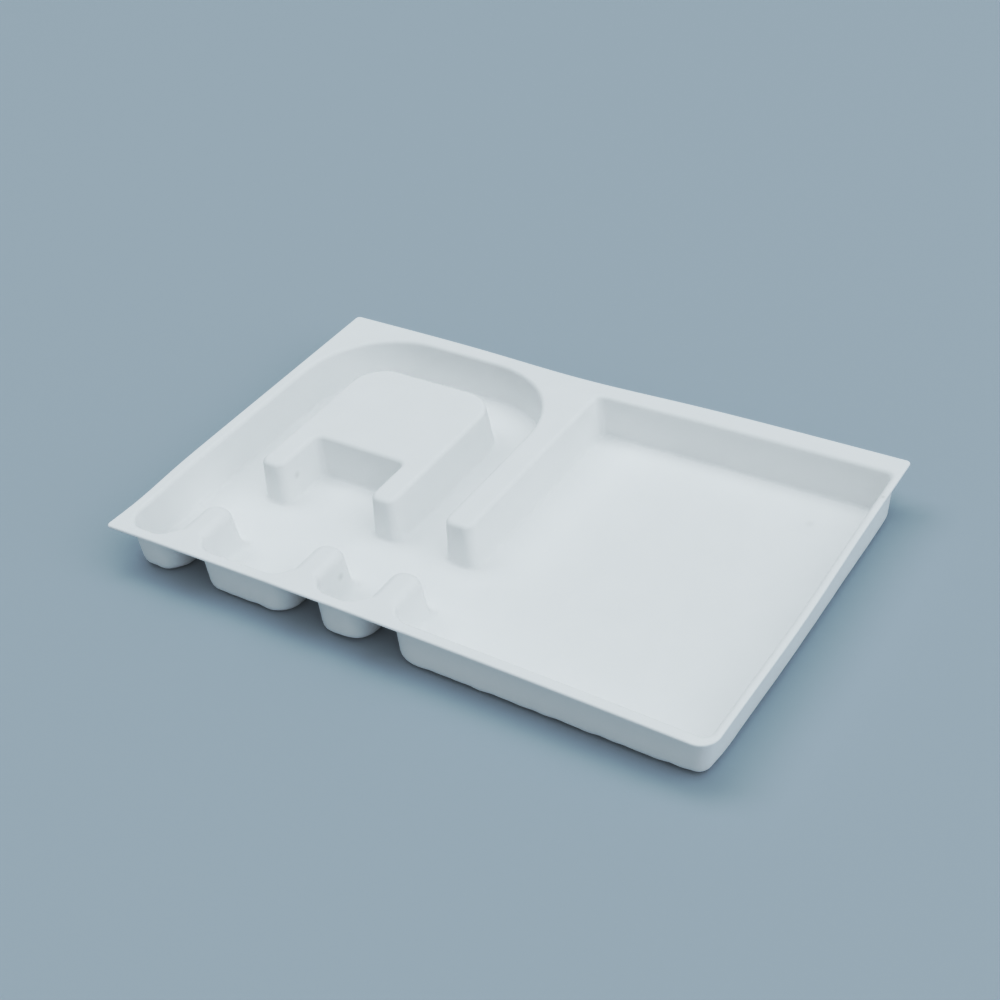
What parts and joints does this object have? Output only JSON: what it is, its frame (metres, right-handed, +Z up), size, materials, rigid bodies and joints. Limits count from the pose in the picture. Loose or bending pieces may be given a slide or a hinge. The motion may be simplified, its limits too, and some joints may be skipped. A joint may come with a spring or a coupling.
{
  "type": "molded pulp insert",
  "caption": "Thin white molded pulp packaging insert: rectangular pocket, arched pocket round a notched island, divider rib, tongues along the front rim and a flat flange.",
  "frame": {"origin": "middle of the bounding box on the underside of the pocket floors, which the insert rests on", "axes": "+X along the long side from the arched pocket to the rectangular pocket, +Y from the front rim with the tongues to the back rim, +Z up out of the open pockets"},
  "size_m": [0.2, 0.1268, 0.0155],
  "materials": {
    "pulp": "matte"
  },
  "bodies": {
    "root": {"pulp_insert": "pulp"}
  },
  "joints": []
}
